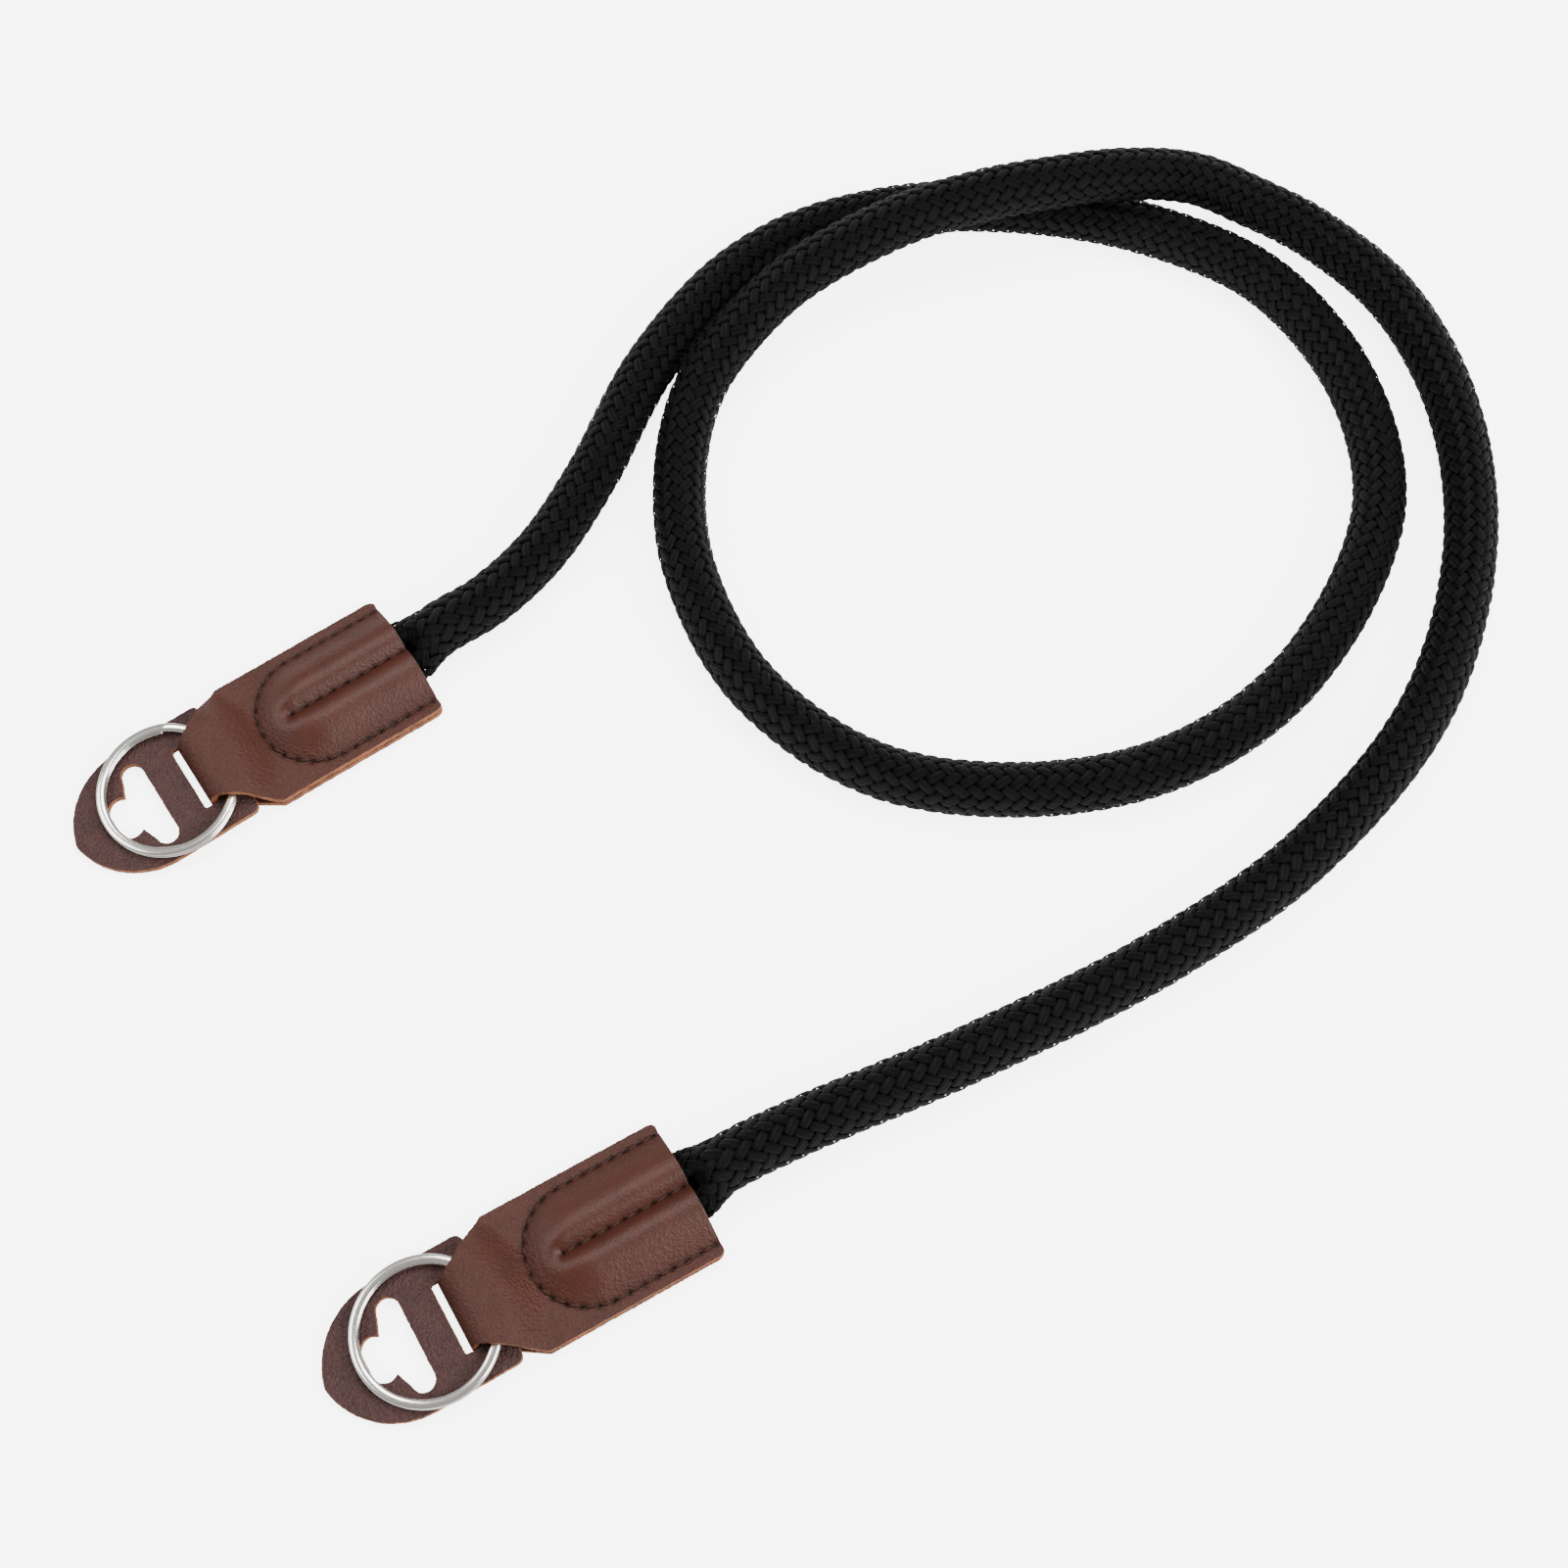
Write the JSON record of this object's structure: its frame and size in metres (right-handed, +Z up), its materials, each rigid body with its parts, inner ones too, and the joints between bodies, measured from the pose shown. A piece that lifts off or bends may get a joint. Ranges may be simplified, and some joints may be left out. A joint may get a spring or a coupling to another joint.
{
  "type": "camera neck strap",
  "caption": "Camera neck strap lying in a loop: a round braided rope sewn into folded leather tabs, each holding a split ring and a leather protector with a T-shaped slot.",
  "frame": {"origin": "bottom centre of the box round the leather ends, protectors and rings, on the surface that the strap lies on", "axes": "+Z up; +X to the right and +Y away from the viewer in the picture"},
  "size_m": [0.2643, 0.2465, 0.0205],
  "materials": {
    "leather": "smooth, semi-matt",
    "grained_leather": "pebbled, matt",
    "braided_cord": "braided, matt",
    "nickel_plate": "bright nickel"
  },
  "bodies": {
    "strap": {"leather_end_a": "leather", "leather_end_b": "leather", "protector_a": "grained_leather", "protector_b": "grained_leather", "rope_end_a": "braided_cord", "rope_end_b": "braided_cord", "rope": "braided_cord"},
    "ring_a": {"split_ring_a": "nickel_plate"},
    "ring_b": {"split_ring_b": "nickel_plate"}
  },
  "joints": [
    {"name": "ring_a_turn", "type": "hinge", "parent": "strap", "child": "ring_a", "pos_m": [-0.04238, 0.03762, 0.00349], "axis": [-0.0484, -0.0321, 0.9983], "continuous": true},
    {"name": "ring_b_turn", "type": "hinge", "parent": "strap", "child": "ring_b", "pos_m": [0.0097, -0.06079, 0.00349], "axis": [-0.0505, -0.0287, 0.9983], "continuous": true}
  ]
}
